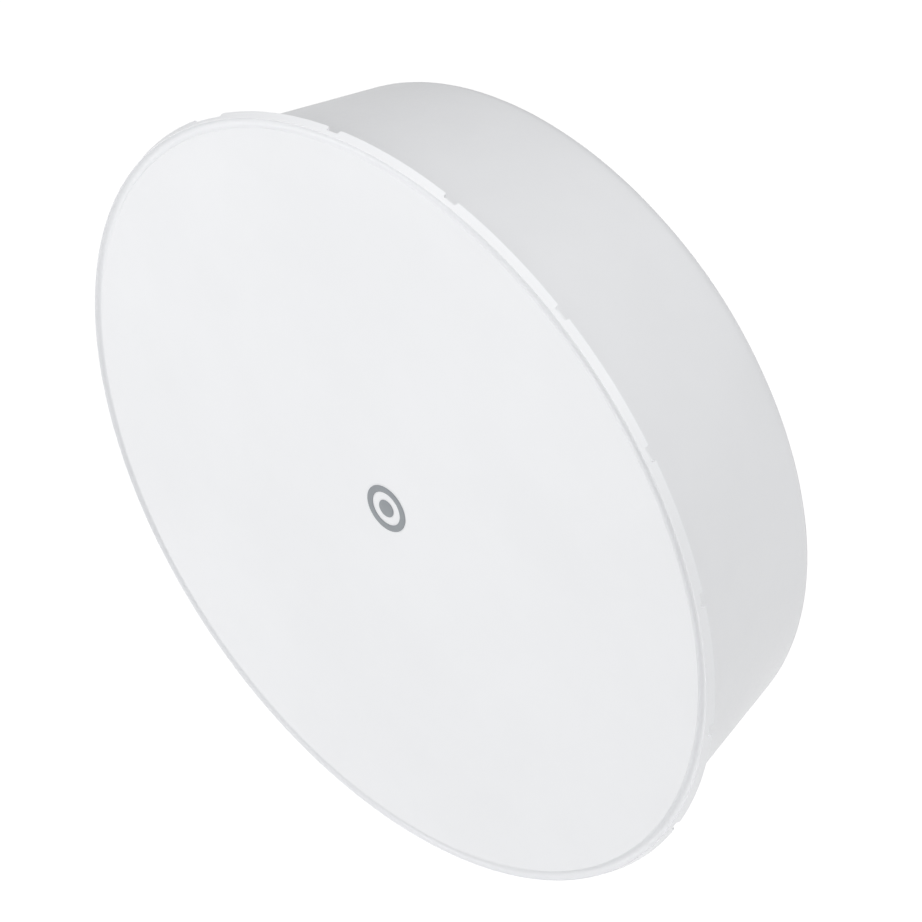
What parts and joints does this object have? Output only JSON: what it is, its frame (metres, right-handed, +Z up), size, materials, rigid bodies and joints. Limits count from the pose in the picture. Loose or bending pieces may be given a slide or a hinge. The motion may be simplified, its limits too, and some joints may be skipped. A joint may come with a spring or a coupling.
{
  "type": "outdoor wireless bridge",
  "caption": "Round shrouded dish antenna with a flat notched front cover, rear radio housing, ball joint and strap bracket for a pole.",
  "frame": {"origin": "on the axis of the pole, at half the height of the mast strap", "axes": "+Z up along the pole, -Y out of the front of the antenna, +X to the right seen from the front"},
  "size_m": [0.4588, 0.2944, 0.459],
  "materials": {
    "radome_plastic": "fine moulded texture, satin",
    "badge_ink": "printed grey",
    "seal_rubber": "matt",
    "shroud_plastic": "fine moulded texture, satin",
    "dish_paint": "powder coat",
    "housing_plastic": "moulded texture",
    "screw_steel": "machined",
    "strap_steel": "rolled",
    "bracket_metal": "die cast, powder coat",
    "ball_metal": "turned",
    "ring_plastic": "glass-filled nylon",
    "seat_nylon": "nylon",
    "cover_plastic": "moulded texture",
    "plate_plastic": "moulded",
    "jack_plastic": "moulded",
    "button_plastic": "moulded",
    "light_plastic": "clear",
    "feed_plastic": "moulded",
    "feed_metal": "turned",
    "board_laminate": "solder mask",
    "contact_gold": "gold plated",
    "shield_tin": "tinned"
  },
  "bodies": {
    "mast_bracket": {"pole_bracket": "bracket_metal", "mast_strap": "strap_steel", "strap_housing": "strap_steel", "seat_ring": "seat_nylon"},
    "strap_screw": {"strap_screw": "screw_steel"},
    "lock_ring": {"lock_ring": "ring_plastic"},
    "ball": {"mount_ball": "ball_metal"},
    "antenna": {"radome_cover": "radome_plastic", "front_badge": "badge_ink", "radome_seal": "seal_rubber", "shroud": "shroud_plastic", "rim_screws": "screw_steel", "rim_nuts": "screw_steel", "dish_reflector": "dish_paint", "hub_gasket": "seal_rubber", "rear_housing": "housing_plastic", "light_pipes": "light_plastic", "housing_screws": "screw_steel", "port_plate": "plate_plastic", "ethernet_jack": "jack_plastic", "jack_contacts": "contact_gold", "feed_tube": "feed_plastic", "feed_cap": "feed_plastic", "feed_collar": "feed_plastic", "subreflector": "feed_metal", "feed_horn": "feed_metal", "radio_board": "board_laminate", "board_shield": "shield_tin", "ball_stud": "screw_steel", "stud_nut": "screw_steel"},
    "port_cover": {"port_cover": "cover_plastic"},
    "reset_button": {"reset_button": "button_plastic"}
  },
  "joints": [
    {"name": "ball_pan", "type": "hinge", "parent": "mast_bracket", "child": "ball", "pos_m": [0, -0.043, 0.017], "axis": [0, 0, 1], "range_deg": [-15, 15]},
    {"name": "ball_tilt", "type": "hinge", "parent": "ball", "child": "antenna", "pos_m": [0, -0.043, 0.017], "axis": [1, 0, 0], "range_deg": [-15, 15]},
    {"name": "lock_ring_turn", "type": "hinge", "parent": "mast_bracket", "child": "lock_ring", "pos_m": [0, -0.044, 0.017], "axis": [0, -1, 0], "range_deg": [0, 270]},
    {"name": "strap_screw_turn", "type": "hinge", "parent": "mast_bracket", "child": "strap_screw", "pos_m": [-0.031, 0, 0], "axis": [0, 1, 0], "continuous": true},
    {"name": "port_cover_slide", "type": "slide", "parent": "antenna", "child": "port_cover", "axis": [0, 0, 1], "range_m": [0, 0.022]},
    {"name": "reset_button_press", "type": "slide", "parent": "antenna", "child": "reset_button", "axis": [0, -1, 0], "range_m": [0, 0.0008], "stiffness_N_per_m": 1200}
  ]
}
